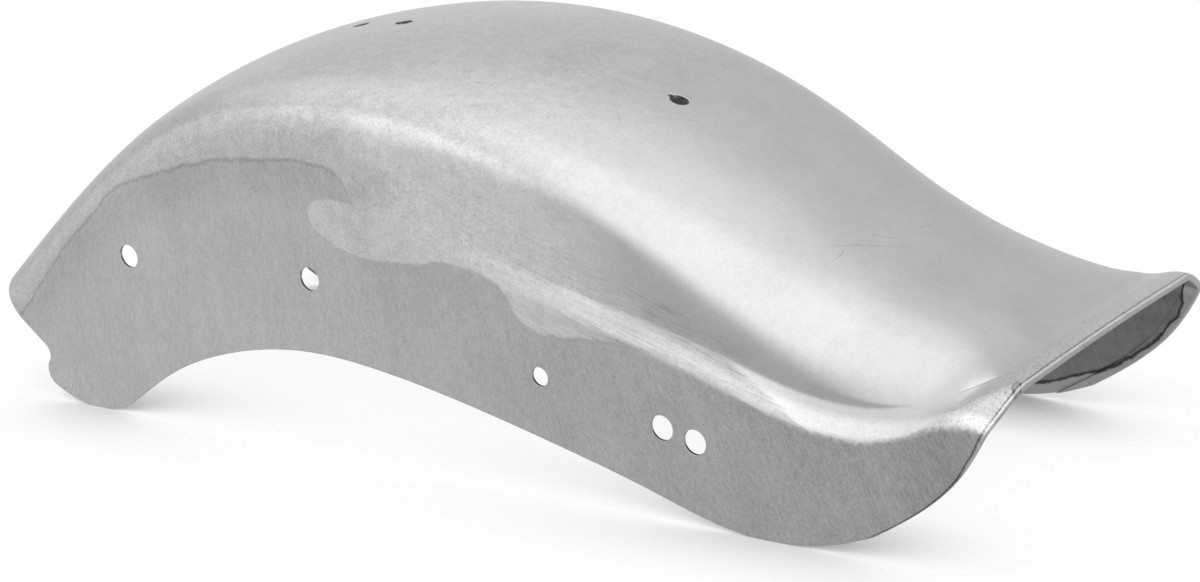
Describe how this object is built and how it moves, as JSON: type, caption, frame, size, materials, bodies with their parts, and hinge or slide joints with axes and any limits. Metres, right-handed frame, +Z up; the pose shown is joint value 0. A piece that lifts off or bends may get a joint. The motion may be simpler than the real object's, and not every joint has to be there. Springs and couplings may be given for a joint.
{
  "type": "motorcycle rear fender",
  "caption": "Deep arched fender pressed from one bare steel sheet, with a ledge along each skirt and a folded hem round its flared tail.",
  "frame": {"origin": "middle of the floor area under the fender, as it stands on its four feet", "axes": "+X towards the flared tail, +Y towards the rider's right skirt, +Z up; the XZ plane is the fender's middle"},
  "size_m": [0.6615, 0.216, 0.2067],
  "materials": {
    "bare_steel": "bare, ground and brushed"
  },
  "bodies": {
    "root": {"fender_shell": "bare_steel"}
  },
  "joints": []
}
